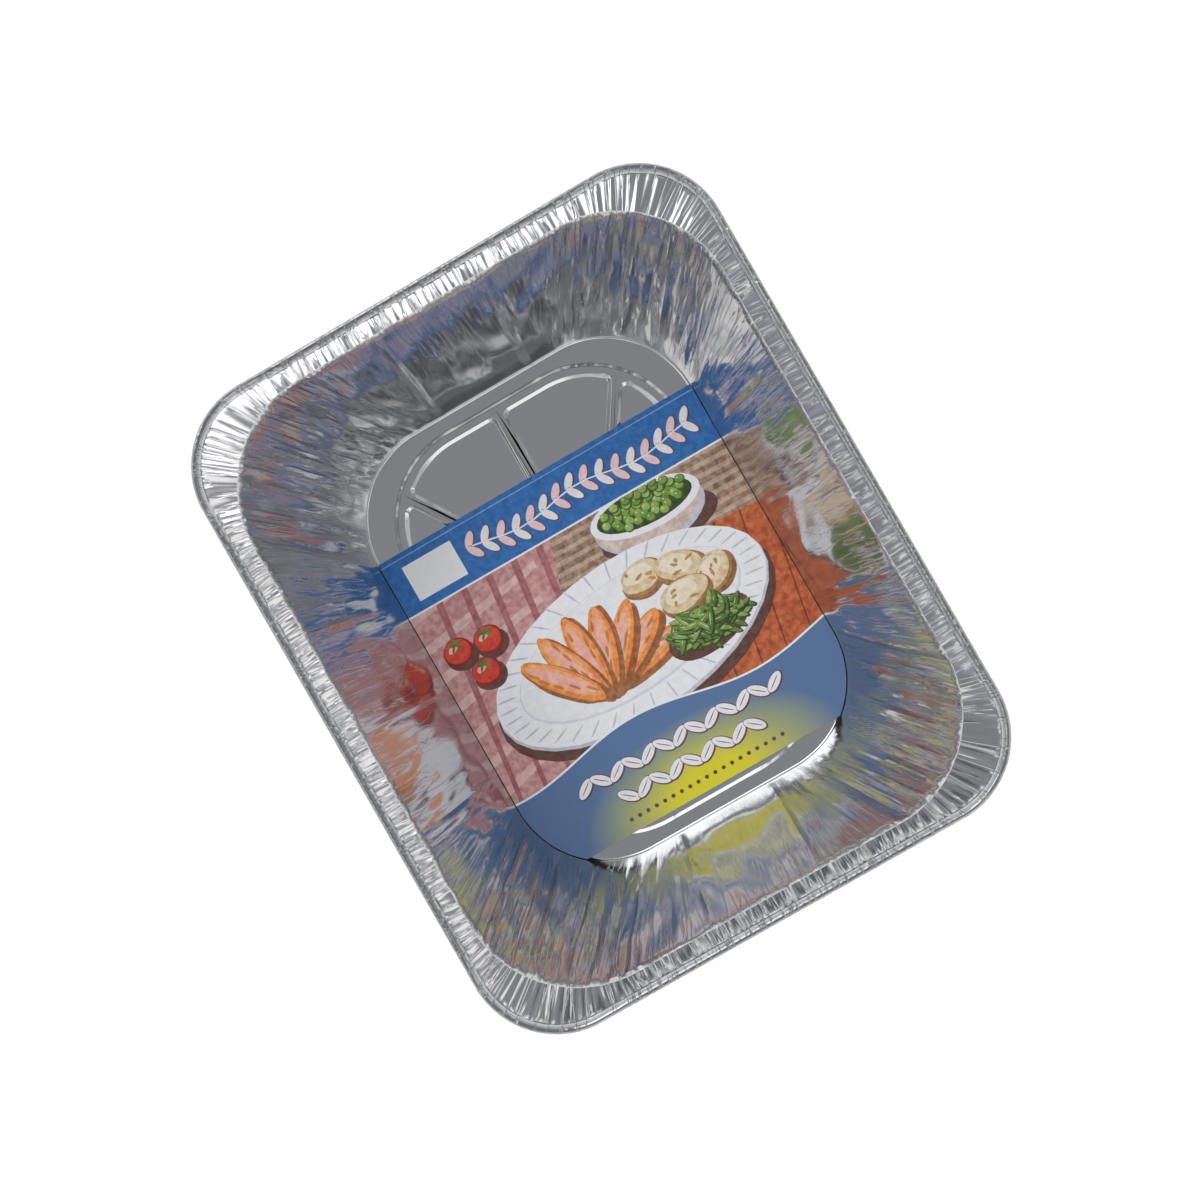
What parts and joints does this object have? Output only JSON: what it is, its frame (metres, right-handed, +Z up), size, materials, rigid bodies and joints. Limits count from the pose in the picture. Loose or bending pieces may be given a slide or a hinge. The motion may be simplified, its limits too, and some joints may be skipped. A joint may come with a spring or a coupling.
{
  "type": "foil roasting pan",
  "caption": "Extra deep rectangular foil roasting pan with folded corners, pleated flange and rolled edge, and a loose printed card on its ribbed floor.",
  "frame": {"origin": "middle of the pan's outline on the surface it stands on", "axes": "+Y along the length, towards the card's straight upper edge; +X across the width; +Z up, out of the open side"},
  "size_m": [0.2636, 0.324, 0.1064],
  "materials": {
    "foil": "bright foil",
    "card": "gloss printed"
  },
  "bodies": {
    "root": {"foil_pan": "foil", "label_card": "card"}
  },
  "joints": []
}
